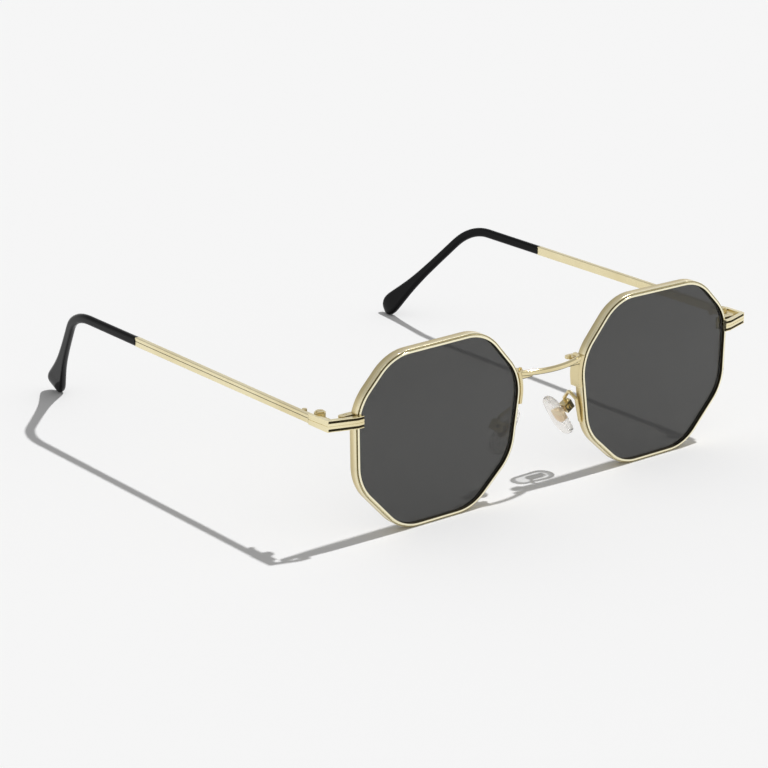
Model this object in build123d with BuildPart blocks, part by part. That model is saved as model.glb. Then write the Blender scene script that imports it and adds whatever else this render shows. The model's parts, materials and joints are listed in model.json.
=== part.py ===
"""Octagonal metal eyeglasses, wearer's left at +X, looking towards -Y, standing on z = 0."""
from build123d import *
from math import cos, radians, sin
import os

os.makedirs("parts", exist_ok=True)

# Front: lenses and rims
lens_width = 50.0  # across the eight sides, before the corners are rounded
lens_height = 44.0
bridge_gap = 21.0  # between the two lens outlines
corner_radius = 11.9
rim_width = 1.0  # wall seen from the front
rim_depth = 2.6
lip_width = 0.55  # narrow lip that stands forward of the rim's band
lip_depth = 0.35
lip_rounding = 0.12
lip_inner_rounding = 0.12
band_rounding = 0.2
line_width = 0.12  # fine line at the foot of the lip
line_cut = 0.15
rim_split = 0.15  # gap where the rim opens to take the lens
split_height = 8.7  # above the lens centre
bevel_place = 1.5  # middle of the lens groove, behind the rim's front
bevel_width = 0.6
bevel_depth = 0.3
lens_thickness = 1.4
lens_apex = 0.25  # highest point of the lens, behind the rim's front
lens_curve = 600.0
fit_gap = 0.04  # between pieces that are seated in each other
overrun = 1.0  # what a cut reaches past the solid

# Eight corners of the lens outline, from the nasal top round by the outer side
corner_shares = [
    (-0.543, 1.0),
    (0.591, 0.985),
    (1.0, 0.505),
    (0.985, -0.375),
    (0.469, -1.0),
    (-0.412, -1.0),
    (-0.893, -0.496),
    (-1.0, 0.395),
]

# End pieces and their place
endpiece_reach = 8.8  # from the lens outline's outer side to the temple's outer face
endpiece_thickness = 1.1
endpiece_overlap = 1.7  # how far the end piece lies over the rim
endpiece_inset = 0.6  # start of the end piece, inside the lens outline's outer side
endpiece_height = 2.95
endpiece_corner_height = 2.9
endpiece_end_height = 2.5
endpiece_rise = 8.2  # above the lens centre
corner_set_back = 1.2  # corner of the end piece, behind the rim's front
seam_set_back = 8.4  # joint with the temple, behind the rim's front
seam_gap = 0.06
corner_taper_in = 0.4
ridge_cut = 0.15
upper_ridge_place = 0.98  # from the middle height of the end piece
lower_ridge_place = -0.98
ridge_cut_height = 0.62
hairline_cut = 0.12
hairline_height = 0.16

# Closing blocks on the outer side of the rims
block_reach = 3.6
block_root = 5.0  # its inner length, before it is cut to the rim's outer wall
block_depth = 1.8
block_set_back = 1.05
block_height = 1.05  # each half
closing_screw_radius = 0.45
closing_head_radius = 0.7
closing_head_height = 0.3
screw_slot_width = 0.22
screw_slot_depth = 0.2

# Bridge
bridge_height = 1.45
bridge_thickness = 1.3
bridge_rise = 9.25  # ends, above the lens centre
bridge_dip = 0.2
bridge_set_back = 1.6
bridge_bow = 2.7  # how far the middle stands forward of the ends
bridge_rounding = 0.58
stub_rise = 8.3
stub_radius = 0.75
stub_length = 2.4
stub_set_back = 0.95
leaf_rise = 9.1
leaf_length = 1.2
leaf_width = 2.6
leaf_height = 0.55
leaf_set_back = 3.1
stud_radius = 0.42
stud_height = 0.5
lug_thickness = 0.9
lug_zone = 12.0  # width of the stretch of rim that the lug can follow
lug_top = 9.8  # above the lens centre
lug_bottom = 1.5
lug_front = 0.1
lug_back = 3.6
lug_rounding = 0.22

# Nose pads, about the middle of the pad
pad_from_middle = 8.9
pad_set_back = 7.45
pad_drop = 7.4  # below the lens centre
pad_splay = 33.0
pad_turn = 0.0
pad_top_radius = 2.75
pad_bottom_radius = 3.25
pad_centres = 7.0
pad_thickness = 2.4
pad_rounding = 1.0
insert_length = 4.4
insert_width = 2.8
insert_thickness = 0.5
insert_cover = 0.35
neck_width = 1.1
neck_radius = 0.7
pivot_reach = 2.4  # pad screw behind the back of the pad
box_length = 2.8
box_width = 2.3
box_wall = 0.45
box_mouth = 1.2  # box in front of the pad screw, towards the pad
box_base_gap = 0.1
box_shift = 0.25  # box below the middle of the pad
box_rounding = 0.25
pad_screw_radius = 0.45
pad_head_radius = 0.72
pad_head_height = 0.35
arm_radius = 0.45
arm_bend = 0.8
arm_root_rise = -9.0
arm_root_set_back = 1.8
arm_side_place = (10.75, 1.75, -5.2)
arm_knee_place = (10.4, 2.15, -2.2)
arm_top_place = (9.9, 4.4, -0.5)
arm_loop_reach = 1.0  # straight run of the arm above the box
running_gap = 0.03  # round each pin, and between knuckles

# Hinges
hinge_clearance = 0.17  # between the barrel and the end piece's inner face
hinge_set_back = 7.3
hinge_rise = 8.0
barrel_radius = 1.42
barrel_height = 3.4
hinge_screw_radius = 0.7
hinge_head_radius = 1.05
hinge_head_height = 0.3
hinge_plate_thickness = 1.15
hinge_plate_height = 2.3
front_plate_start = 3.2
temple_plate_end = 13.2
temple_plate_height = 1.5
boss_radius = 0.65
boss_height = 2.4
knuckle_gap = 0.05

# Temples and tips
temple_thickness = 1.4
temple_front_height = 2.2
temple_back_height = 2.45
temple_rounding = 0.28
temple_line_rise = 0.25
tip_start_back = 82.3  # joint of metal and tip, behind the rim's front
bend_back = 112.5
bend_radius = 17.0
tip_slope = 48.5
tip_lean = 18.5  # the bent part leans inwards
core_radius = 0.6
core_end_share = 0.55
tip_start_height = 2.55
tip_start_thickness = 1.75
paddle_width = 6.5
paddle_thickness = 2.1
tip_corner_share = 0.44
foot_share = 0.036  # how far the rounded edge reaches below its middle line, of its thickness
flare_start_share = 0.02  # part of the widening that is spread evenly along the tip
tip_steps = 24
paddle_angles = (0, 20, 38, 53, 66, 76, 84)  # sections round the end of the paddle

# Places worked out from the sizes: rims and tips both stand on the surface
lens_x = (bridge_gap + lens_width) / 2
front_half_width = bridge_gap / 2 + lens_width + endpiece_reach
lens_z = lens_height / 2 + rim_width
slope = radians(tip_slope)
lean = radians(tip_lean)
temple_z = lens_z + endpiece_rise
paddle_radius = paddle_width / 2
paddle_foot = paddle_radius * cos(lean) + foot_share * paddle_thickness
paddle_run = (temple_z - paddle_foot) / (sin(slope) * cos(lean))
overall_depth = endpiece_thickness + bend_back + paddle_run * cos(slope) + paddle_radius
half_depth = overall_depth / 2
front_y = endpiece_thickness - half_depth


def behind(distance):
    """Upright plane that faces forward, this far behind the front of the rims."""
    return Plane.XZ.offset(-(front_y + distance))


def level(rise):
    """Level plane, this far above the middle of the lenses."""
    return Plane.XY.offset(lens_z + rise)


def lens_outline(distance, grow):
    """Outline of the left lens, grown outwards, on the plane this far behind the rims' front."""
    corners = [(lens_x + u * lens_width / 2, lens_z + v * lens_height / 2) for u, v in corner_shares]
    with BuildSketch(behind(distance)) as outline:
        with BuildLine():
            FilletPolyline(*corners, radius=corner_radius, close=True)
        make_face()
        if grow:
            offset(amount=grow)
    return outline.sketch


def rim_block(grow, start, end):
    """Everything within the grown lens outline, from start to end behind the rims' front."""
    with BuildPart() as block:
        extrude(lens_outline(start, grow), amount=start - end)
    return block.part


def write_pair(part, name):
    """Write the left piece and its mirror image."""
    with BuildPart() as twin:
        mirror(part, about=Plane.YZ)
    for piece, side in ((part, "left"), (twin.part, "right")):
        piece.label = f"{name}_{side}"
        export_step(piece, f"parts/{name}_{side}.step")


def outer_path(inset):
    """End piece's outer line in plan, from over the rim round the corner to the seam."""
    overlap_end = lens_x + lens_width / 2 - inset
    return [
        (overlap_end, front_y - endpiece_thickness),
        (overlap_end + endpiece_overlap, front_y - endpiece_thickness),
        (front_half_width - corner_taper_in, front_y + corner_set_back),
        (front_half_width, front_y + seam_set_back),
    ]


endpiece_path = outer_path(endpiece_inset)

# Rim: a closed band with a lens groove inside, a narrow lip in front and a fine line between them
with BuildPart() as rim:
    extrude(lens_outline(lip_depth, rim_width), amount=lip_depth - rim_depth)
    band_front = rim.faces().sort_by(Axis.Y)[0]
    fillet(band_front.outer_wire().edges(), radius=band_rounding)
    extrude(lens_outline(0, lip_width), amount=-rim_depth)
    lip_front = rim.faces().sort_by(Axis.Y)[0]
    fillet(lip_front.outer_wire().edges(), radius=lip_rounding)
    extrude(lens_outline(-overrun, 0), amount=-(rim_depth + 2 * overrun), mode=Mode.SUBTRACT)
    front_face = rim.faces().filter_by(Axis.Y).sort_by(Axis.Y)[0]
    fillet(front_face.inner_wires()[0].edges(), radius=lip_inner_rounding)
    loft(
        [
            lens_outline(bevel_place - bevel_width / 2, 0),
            lens_outline(bevel_place, bevel_depth),
            lens_outline(bevel_place + bevel_width / 2, 0),
        ],
        ruled=True,
        mode=Mode.SUBTRACT,
    )
    with BuildSketch(behind(lip_depth)):
        add(lens_outline(lip_depth, lip_width + line_width))
        add(lens_outline(lip_depth, lip_width), mode=Mode.SUBTRACT)
    extrude(amount=-line_cut, mode=Mode.SUBTRACT)
    with BuildSketch(behind(-overrun)):
        with Locations((lens_x + lens_width / 2, lens_z + split_height)):
            Rectangle(4 * (rim_width + overrun), rim_split)
    extrude(amount=-(rim_depth + 2 * overrun), mode=Mode.SUBTRACT)
write_pair(rim.part, "rim")

# Lens: a slightly domed plate with a bevel that sits in the groove
with BuildPart() as lens:
    extrude(lens_outline(0, -fit_gap), amount=-(rim_depth + overrun))
    bevel_half = bevel_width / 2 - fit_gap
    loft(
        [
            lens_outline(bevel_place - bevel_half, -fit_gap),
            lens_outline(bevel_place, bevel_depth - fit_gap),
            lens_outline(bevel_place + bevel_half, -fit_gap),
        ],
        ruled=True,
    )
    with Locations((lens_x, front_y + lens_apex + lens_curve, lens_z)):
        Sphere(lens_curve, mode=Mode.INTERSECT)
    with Locations((lens_x, front_y + lens_apex + lens_thickness + lens_curve, lens_z)):
        Sphere(lens_curve, mode=Mode.SUBTRACT)
write_pair(lens.part, "lens")

rim_solid = rim_block(rim_width, -overrun, rim_depth + 2 * overrun)
lug_face_x = bridge_gap / 2 - rim_width - lug_thickness
lug_solid = rim_block(rim_width + lug_thickness, -overrun, lug_back + overrun)

# Lug: an upright plate on the nasal side of the rim with a small leaf and a stud, which carries the bridge
with BuildPart() as lug:
    extrude(lens_outline(lug_front, rim_width + lug_thickness), amount=lug_front - lug_back)
    fillet(lug.faces().filter_by(Axis.Y).edges(), radius=lug_rounding)
    with BuildSketch(behind(lug_front)):
        with Locations((lens_x - lens_width / 2, lens_z + (lug_top + lug_bottom) / 2)):
            Rectangle(lug_zone, lug_top - lug_bottom)
    extrude(amount=lug_front - lug_back, mode=Mode.INTERSECT)
    with BuildSketch(level(leaf_rise - leaf_height / 2)):
        with Locations((lug_face_x - leaf_length / 2 + leaf_width / 2, front_y + leaf_set_back)):
            SlotOverall(leaf_length + leaf_width, leaf_width)
    extrude(amount=leaf_height)
    with BuildSketch(level(leaf_rise + leaf_height / 2)):
        with Locations((lug_face_x - stud_radius, front_y + leaf_set_back - stud_radius)):
            Circle(stud_radius)
    extrude(amount=stud_height)
    add(rim_solid, mode=Mode.SUBTRACT)
write_pair(lug.part, "bridge_lug")

# Bridge: a bowed bar with a stub under each end
bridge_end_x = bridge_gap / 2 + rim_width
with BuildPart() as bridge:
    with BuildLine() as bar_line:
        ThreePointArc(
            (-bridge_end_x, front_y + bridge_set_back, lens_z + bridge_rise),
            (0, front_y + bridge_set_back - bridge_bow, lens_z + bridge_rise - bridge_dip),
            (bridge_end_x, front_y + bridge_set_back, lens_z + bridge_rise),
        )
    bar_start = bar_line.line @ 0
    with BuildSketch(Plane(origin=bar_start, x_dir=(0, 1, 0), z_dir=bar_line.line % 0)):
        RectangleRounded(bridge_thickness, bridge_height, bridge_rounding)
    sweep()
    for side in (-1, 1):
        stub_start = Plane(
            origin=(side * (lug_face_x - stub_length), front_y + stub_set_back, lens_z + stub_rise),
            z_dir=(side, 0, 0),
        )
        with BuildSketch(stub_start):
            Circle(stub_radius)
        extrude(amount=stub_length + lug_thickness + rim_width)
    add(lug_solid, mode=Mode.SUBTRACT)
    mirror(lug_solid, about=Plane.YZ, mode=Mode.SUBTRACT)
bridge.part.label = "bridge"
export_step(bridge.part, "parts/bridge.step")

# Closing blocks: two half blocks with a screw through both, behind the end piece
rim_edge_x = lens_x + lens_width / 2
block_screw_x = rim_edge_x + rim_width + block_reach / 2
block_y = front_y + block_set_back + block_depth / 2


def block_half(start, height):
    """One half of the closing block, drilled for its screw and seated on the rim's outer wall."""
    with BuildPart() as half:
        with BuildSketch(level(start)):
            with Locations((rim_edge_x + rim_width + (block_reach - block_root) / 2, block_y)):
                SlotOverall(block_reach + block_root, block_depth)
            with Locations((block_screw_x, block_y)):
                Circle(closing_screw_radius + fit_gap, mode=Mode.SUBTRACT)
        extrude(amount=height)
        add(rim_solid, mode=Mode.SUBTRACT)
    return half.part


block_upper_start = split_height + rim_split / 2
block_lower_start = split_height - rim_split / 2 - block_height
write_pair(block_half(block_upper_start, block_height), "closing_block_upper")
write_pair(block_half(block_lower_start, block_height), "closing_block_lower")

with BuildPart() as closing_screw:
    with BuildSketch(level(block_lower_start - fit_gap)):
        with Locations((block_screw_x, block_y)):
            Circle(closing_screw_radius)
    extrude(amount=2 * block_height + rim_split)
    with BuildSketch(level(block_lower_start - fit_gap)):
        with Locations((block_screw_x, block_y)):
            Circle(closing_head_radius)
    extrude(amount=-closing_head_height)
    with BuildSketch(level(block_lower_start - fit_gap - closing_head_height)):
        with Locations((block_screw_x, block_y)):
            Rectangle(4 * closing_head_radius, screw_slot_width)
    extrude(amount=screw_slot_depth, mode=Mode.SUBTRACT)
write_pair(closing_screw.part, "closing_screw")

# End piece: a ridged bar from over the rim, round the corner, back to the temple
with BuildPart() as endpiece:
    with BuildSketch(level(endpiece_rise - endpiece_height / 2)):
        with BuildLine():
            Polyline(*endpiece_path)
            offset(amount=endpiece_thickness, side=Side.LEFT)
        make_face()
    extrude(amount=endpiece_height)
    corner_edge = endpiece.edges().filter_by(Axis.Z).sort_by(Axis.X)[-2:].sort_by(Axis.Y)[0]
    fillet(corner_edge, radius=endpiece_thickness / 3)
    front_start_x = endpiece_path[0][0]
    with BuildSketch(behind(-endpiece_thickness - overrun)):
        with BuildLine():
            Polyline(
                (front_start_x - overrun, lens_z + endpiece_rise - endpiece_height / 2),
                (front_start_x - overrun, lens_z + endpiece_rise + endpiece_height / 2),
                (front_start_x + endpiece_overlap, lens_z + endpiece_rise + endpiece_height / 2),
                (front_half_width, lens_z + endpiece_rise + endpiece_corner_height / 2),
                (front_half_width + overrun, lens_z + endpiece_rise + endpiece_corner_height / 2),
                (front_half_width + overrun, lens_z + endpiece_rise - endpiece_corner_height / 2),
                (front_half_width, lens_z + endpiece_rise - endpiece_corner_height / 2),
                (front_start_x + endpiece_overlap, lens_z + endpiece_rise - endpiece_height / 2),
                close=True,
            )
        make_face()
    extrude(amount=-(endpiece_thickness + seam_set_back + 2 * overrun), mode=Mode.INTERSECT)
    side_start_y = front_y + corner_set_back + endpiece_thickness
    seam_y = front_y + seam_set_back
    with BuildSketch(Plane.YZ.offset(front_half_width - 2 * endpiece_thickness)):
        for side in (-1, 1):
            with BuildLine():
                Polyline(
                    (side_start_y, lens_z + endpiece_rise + side * endpiece_corner_height / 2),
                    (seam_y, lens_z + endpiece_rise + side * endpiece_end_height / 2),
                    (seam_y, lens_z + endpiece_rise + side * endpiece_height),
                    (side_start_y, lens_z + endpiece_rise + side * endpiece_height),
                    close=True,
                )
            make_face()
    extrude(amount=3 * endpiece_thickness, mode=Mode.SUBTRACT)
    front_stretch = endpiece_path[:-1]
    grooves = (
        (front_stretch, upper_ridge_place, ridge_cut_height, ridge_cut),
        (front_stretch, lower_ridge_place, ridge_cut_height, ridge_cut),
        (endpiece_path, (upper_ridge_place + lower_ridge_place) / 2, hairline_height, hairline_cut),
    )
    for path, place, height, cut in grooves:
        with BuildSketch(level(endpiece_rise + place - height / 2)):
            with BuildLine():
                Polyline(*path)
                offset(amount=cut, side=Side.LEFT)
            make_face()
        extrude(amount=height, mode=Mode.SUBTRACT)
    with BuildSketch(behind(seam_set_back - seam_gap)):
        with Locations((front_half_width, temple_z)):
            Rectangle(4 * endpiece_thickness, 2 * endpiece_height)
    extrude(amount=-overrun, mode=Mode.SUBTRACT)
write_pair(endpiece.part, "endpiece")

# Nose pad: everything lies in the pad's own tilted plane, its z towards the nose
splay = radians(pad_splay)
turn = radians(pad_turn)
pad_middle = (pad_from_middle, front_y + pad_set_back, lens_z - pad_drop)
pad_down = (sin(splay), 0, -cos(splay))
pad_facing = (-cos(splay) * cos(turn), sin(turn), -sin(splay) * cos(turn))
pad_plane = Plane(origin=pad_middle, x_dir=pad_down, z_dir=pad_facing)
pivot_depth = -(pad_thickness / 2 + pivot_reach)
insert_depth = -(pad_thickness / 2 - insert_cover)


def pad_metal(grow):
    """Metal piece in the pad: a plate under the surface and a neck that reaches the screw."""
    with BuildPart() as metal:
        with BuildSketch(pad_plane.offset(insert_depth - grow)):
            with Locations((box_shift, 0)):
                SlotOverall(insert_length + 2 * grow, insert_width + 2 * grow)
        extrude(amount=insert_thickness + 2 * grow)
        with BuildSketch(pad_plane.offset(pivot_depth)):
            with Locations((box_shift, 0)):
                Rectangle(2 * (neck_radius + grow), neck_width + 2 * grow)
        extrude(amount=insert_depth - pivot_depth)
    return metal.part


neck_side = Plane(
    origin=pad_plane.from_local_coords((box_shift, 0, pivot_depth)),
    x_dir=pad_plane.x_dir,
    z_dir=pad_plane.y_dir,
)
pad_insert_blank = pad_metal(0)
pad_pocket = pad_metal(fit_gap)

with BuildPart() as pad:
    with BuildSketch(pad_plane.offset(-pad_thickness / 2)):
        with Locations((-pad_centres / 2, 0)):
            Circle(pad_top_radius)
        with Locations((pad_centres / 2, 0)):
            Circle(pad_bottom_radius)
        make_hull()
    extrude(amount=pad_thickness)
    fillet(pad.edges().filter_by(lambda e: not e.is_interior), radius=pad_rounding)
    add(pad_pocket, mode=Mode.SUBTRACT)
write_pair(pad.part, "nose_pad")

with BuildPart() as pad_insert:
    add(pad_insert_blank)
    with BuildSketch(neck_side.offset(-neck_width / 2)):
        Circle(neck_radius)
    extrude(amount=neck_width)
    with BuildSketch(neck_side.offset(-box_width)):
        Circle(pad_screw_radius + running_gap)
    extrude(amount=2 * box_width, mode=Mode.SUBTRACT)
write_pair(pad_insert.part, "pad_insert")

# Pad box: a small open box whose two cheeks carry the pad screw
box_back = pivot_depth - neck_radius - box_base_gap - box_wall
with BuildPart() as pad_box:
    with BuildSketch(pad_plane.offset(box_back)):
        with Locations((box_shift, 0)):
            RectangleRounded(box_length, box_width, box_rounding)
    extrude(amount=pivot_depth + box_mouth - box_back)
    with BuildSketch(pad_plane.offset(box_back + box_wall)):
        with Locations((box_shift, 0)):
            Rectangle(box_length - 2 * box_wall, box_width - 2 * box_wall)
    extrude(amount=box_length, mode=Mode.SUBTRACT)
    with BuildSketch(neck_side.offset(-box_width)):
        Circle(pad_screw_radius + running_gap)
    extrude(amount=2 * box_width, mode=Mode.SUBTRACT)
write_pair(pad_box.part, "pad_box")

with BuildPart() as pad_screw:
    with BuildSketch(neck_side.offset(-box_width / 2 - fit_gap)):
        Circle(pad_screw_radius)
    extrude(amount=box_width + 2 * fit_gap)
    with BuildSketch(neck_side.offset(box_width / 2 + fit_gap)):
        Circle(pad_head_radius)
    extrude(amount=pad_head_height)
    with BuildSketch(neck_side.offset(box_width / 2 + fit_gap + pad_head_height)):
        Rectangle(4 * pad_head_radius, screw_slot_width)
    extrude(amount=-screw_slot_depth, mode=Mode.SUBTRACT)
write_pair(pad_screw.part, "pad_screw")

# Pad arm: a bent wire from the rim's nasal side over a loop into the end wall of the box
arm_box_x = box_shift - box_length / 2
arm_box_depth = pivot_depth - neck_radius / 2
nasal_low, nasal_high = corner_shares[-2:]
arm_root_share = (2 * arm_root_rise / lens_height - nasal_low[1]) / (nasal_high[1] - nasal_low[1])
arm_root_x = lens_x + lens_width / 2 * (nasal_low[0] + (nasal_high[0] - nasal_low[0]) * arm_root_share)
arm_points = [
    (arm_root_x + rim_width / 2, front_y + arm_root_set_back, lens_z + arm_root_rise),
    (arm_root_x - rim_width - arm_radius, front_y + arm_root_set_back, lens_z + arm_root_rise + 2 * arm_radius),
    *[(x, front_y + y, lens_z + z) for x, y, z in (arm_side_place, arm_knee_place, arm_top_place)],
    pad_plane.from_local_coords((arm_box_x - arm_loop_reach, 0, arm_box_depth)),
    pad_plane.from_local_coords((arm_box_x, 0, arm_box_depth)),
]
with BuildPart() as pad_arm:
    with BuildLine() as arm_line:
        FilletPolyline(*arm_points, radius=arm_bend)
    with BuildSketch(Plane(origin=arm_line.line @ 0, z_dir=arm_line.line % 0)):
        Circle(arm_radius)
    sweep()
    add(rim_solid, mode=Mode.SUBTRACT)
write_pair(pad_arm.part, "pad_arm")

# Hinge: two front knuckles, one temple knuckle and a screw on an upright axis
hinge_place = (front_half_width - endpiece_thickness - hinge_clearance - barrel_radius, front_y + hinge_set_back)
knuckle_height = (barrel_height - 2 * knuckle_gap) / 3
barrel_start = hinge_rise - barrel_height / 2
temple_inner_x = front_half_width - temple_thickness
plate_y = front_y + front_plate_start
plate_reach = endpiece_thickness + corner_taper_in + hinge_plate_thickness

with BuildPart() as hinge_front:
    with BuildSketch(level(hinge_rise - hinge_plate_height / 2)):
        with Locations((front_half_width, (plate_y + hinge_place[1]) / 2)):
            Rectangle(plate_reach, hinge_place[1] - plate_y, align=(Align.MAX, Align.CENTER))
    extrude(amount=hinge_plate_height)
    with BuildSketch(level(hinge_rise - hinge_plate_height)):
        with BuildLine():
            Polyline(*endpiece_path)
            offset(amount=endpiece_thickness, side=Side.LEFT)
        make_face()
    extrude(amount=2 * hinge_plate_height, mode=Mode.SUBTRACT)
    add(hinge_front.solids().sort_by(Axis.X)[0], mode=Mode.REPLACE)
    with BuildSketch(level(barrel_start)):
        with Locations(hinge_place):
            Circle(barrel_radius)
    extrude(amount=barrel_height)
    with BuildSketch(level(barrel_start + knuckle_height)):
        with Locations(hinge_place):
            Circle(barrel_radius + knuckle_gap)
    extrude(amount=knuckle_height + 2 * knuckle_gap, mode=Mode.SUBTRACT)
    with BuildSketch(level(barrel_start - overrun)):
        with Locations(hinge_place):
            Circle(hinge_screw_radius + running_gap)
    extrude(amount=barrel_height + 2 * overrun, mode=Mode.SUBTRACT)
write_pair(hinge_front.part, "hinge_front")

temple_knuckle_start = barrel_start + knuckle_height + knuckle_gap
temple_knuckle_middle = temple_knuckle_start + knuckle_height / 2
with BuildPart() as hinge_temple:
    plate_end_y = front_y + temple_plate_end
    with BuildSketch(level(temple_knuckle_start)):
        with Locations(hinge_place):
            Circle(barrel_radius)
        with Locations((temple_inner_x, hinge_place[1])):
            Rectangle(hinge_plate_thickness, plate_end_y - hinge_place[1], align=(Align.MAX, Align.MIN))
    extrude(amount=knuckle_height)
    with BuildSketch(level(temple_knuckle_middle - boss_height / 2)):
        with Locations((temple_inner_x - boss_radius, plate_end_y - boss_radius)):
            Circle(boss_radius)
    extrude(amount=boss_height)
    with BuildSketch(level(barrel_start - overrun)):
        with Locations(hinge_place):
            Circle(hinge_screw_radius + running_gap)
    extrude(amount=barrel_height + 2 * overrun, mode=Mode.SUBTRACT)
write_pair(hinge_temple.part, "hinge_temple")

with BuildPart() as hinge_screw:
    with BuildSketch(level(barrel_start)):
        with Locations(hinge_place):
            Circle(hinge_screw_radius)
    extrude(amount=barrel_height + fit_gap)
    with BuildSketch(level(barrel_start + barrel_height + fit_gap)):
        with Locations(hinge_place):
            Circle(hinge_head_radius)
    extrude(amount=hinge_head_height)
    with BuildSketch(level(barrel_start + barrel_height + fit_gap + hinge_head_height)):
        with Locations(hinge_place):
            Rectangle(4 * hinge_head_radius, screw_slot_width)
    extrude(amount=-screw_slot_depth, mode=Mode.SUBTRACT)
write_pair(hinge_screw.part, "hinge_screw")

# Temple and tip follow one middle line: straight back, round the bend, down and inwards
temple_x = front_half_width - temple_thickness / 2
tip_start_y = front_y + tip_start_back
bend_y = front_y + bend_back
tip_run_down = (-sin(slope) * sin(lean), cos(slope), -sin(slope) * cos(lean))
tip_start = Vector(temple_x, tip_start_y, temple_z)
bend = Vector(temple_x, bend_y, temple_z)
tip_end = bend + Vector(*tip_run_down) * (paddle_run + paddle_radius)


def middle_line(end_share):
    """Middle line of the tip from its start, up to this share of the bent run."""
    with BuildLine() as line:
        FilletPolyline(tip_start, bend, bend + (tip_end - bend) * end_share, radius=bend_radius)
    return line.wire()


with BuildPart() as temple:
    for y, height in ((seam_y, temple_front_height), (tip_start_y, temple_back_height)):
        with BuildSketch(Plane(origin=(temple_x, y, temple_z), x_dir=(1, 0, 0), z_dir=(0, 1, 0))):
            RectangleRounded(temple_thickness, height, temple_rounding)
    loft()
    with BuildSketch(Plane.YZ.offset(front_half_width - hairline_cut)):
        with Locations(((seam_y + tip_start_y) / 2, temple_z + temple_line_rise)):
            Rectangle(tip_start_back, hairline_height)
    extrude(amount=overrun, mode=Mode.SUBTRACT)
    core_line = middle_line(core_end_share)
    with BuildSketch(Plane(origin=tip_start, z_dir=(0, 1, 0))):
        Circle(core_radius)
    sweep(path=core_line)
write_pair(temple.part, "temple")

# Tip: widens slowly past the bend into a paddle with a round end
tip_line = middle_line(1.0)
tip_length = tip_line.length
body_length = tip_length - paddle_radius
bend_end_share = (tip_length - (tip_end - bend).length + bend_radius) / tip_length


def tip_section(run, width, thickness):
    """Rounded cross section of the tip, this far along its middle line."""
    place = run / tip_length
    roll = lean * min(1.0, place / bend_end_share)
    plane = Plane(origin=tip_line @ place, x_dir=(cos(roll), 0, -sin(roll)), z_dir=tip_line % place)
    with BuildSketch(plane) as section:
        RectangleRounded(thickness, width, tip_corner_share * min(thickness, width))
    return section.sketch


def body_section(share):
    """Cross section of the tip before its round end, this share of the way along."""
    swell = share**12 * (3 - 2 * share**6)
    widening = flare_start_share * share + (1 - flare_start_share) * swell
    width = tip_start_height + (paddle_width - tip_start_height) * widening
    thickness = tip_start_thickness + (paddle_thickness - tip_start_thickness) * share**6
    return tip_section(share * body_length, width, thickness)


with BuildPart() as tip:
    sections = [body_section(step / tip_steps) for step in range(tip_steps)]
    for angle in paddle_angles:
        narrowing = cos(radians(angle))
        end_run = body_length + paddle_radius * sin(radians(angle))
        sections.append(tip_section(end_run, paddle_width * narrowing, paddle_thickness * narrowing))
    loft(sections)
    with BuildSketch(Plane(origin=tip_start, z_dir=(0, 1, 0))):
        Circle(core_radius + fit_gap)
    sweep(path=middle_line(core_end_share), mode=Mode.SUBTRACT)
write_pair(tip.part, "temple_tip")

tip_box = tip.part.bounding_box()
print("tip lowest", round(tip_box.min.Z, 3), "tip back", round(tip_box.max.Y, 3), "half depth", round(half_depth, 3))
print("rims' front at", round(front_y, 3), "hinge axis at", [round(v, 3) for v in hinge_place])
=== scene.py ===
"""Octagonal metal eyeglasses: finishes, silicone nose pads and a plain pale stage."""
import json
import math

import bmesh
import bpy
from bpy.props import FloatProperty, FloatVectorProperty, PointerProperty
from mathutils import Matrix, Vector

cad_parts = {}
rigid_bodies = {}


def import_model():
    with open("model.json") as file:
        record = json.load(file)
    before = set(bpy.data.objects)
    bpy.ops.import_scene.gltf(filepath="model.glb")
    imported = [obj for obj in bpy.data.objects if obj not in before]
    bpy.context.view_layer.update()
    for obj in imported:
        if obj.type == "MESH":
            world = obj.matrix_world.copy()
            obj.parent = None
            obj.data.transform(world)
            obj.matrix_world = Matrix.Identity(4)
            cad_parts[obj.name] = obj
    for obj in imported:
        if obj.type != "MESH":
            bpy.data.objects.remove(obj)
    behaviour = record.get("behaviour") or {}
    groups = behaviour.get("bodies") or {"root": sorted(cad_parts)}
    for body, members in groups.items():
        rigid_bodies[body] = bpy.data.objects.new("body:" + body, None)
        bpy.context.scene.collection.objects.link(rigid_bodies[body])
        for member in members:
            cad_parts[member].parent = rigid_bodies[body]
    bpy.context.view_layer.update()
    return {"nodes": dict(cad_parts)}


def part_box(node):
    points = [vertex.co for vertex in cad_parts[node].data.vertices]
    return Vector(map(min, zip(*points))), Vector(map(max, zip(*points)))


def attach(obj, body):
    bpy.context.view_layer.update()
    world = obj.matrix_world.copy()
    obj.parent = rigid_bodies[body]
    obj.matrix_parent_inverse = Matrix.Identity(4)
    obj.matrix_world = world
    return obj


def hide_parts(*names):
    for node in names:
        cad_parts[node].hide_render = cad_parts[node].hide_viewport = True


bl_info = {
    "name": "Octagonal Eyeglasses",
    "version": (1, 0, 0),
    "blender": (4, 5, 0),
    "location": "View3D > Sidebar > Eyeglasses",
    "description": "Finishes for octagonal metal eyeglasses, with clear nose pads and a stage",
    "category": "Object",
}

for leftover in list(bpy.data.objects):
    bpy.data.objects.remove(leftover, do_unlink=True)

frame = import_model()

MM = 0.001
SIDES = ("left", "right")
FRONT_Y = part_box("rim_left")[0].y  # front face of the rims
LENS_X = 35.5 * MM  # middle of the left lens, out from the middle of the eyeglasses
LENS_Z = 23.0 * MM  # middle of the lenses, above the surface under the eyeglasses


# Settings


def colour(name, description, default):
    return FloatVectorProperty(
        name=name, description=description, default=default, size=3, min=0.0, max=1.0, subtype="COLOR"
    )


def share(name, description, default):
    return FloatProperty(
        name=name, description=description, default=default, min=0.0, max=1.0, subtype="FACTOR"
    )


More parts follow.
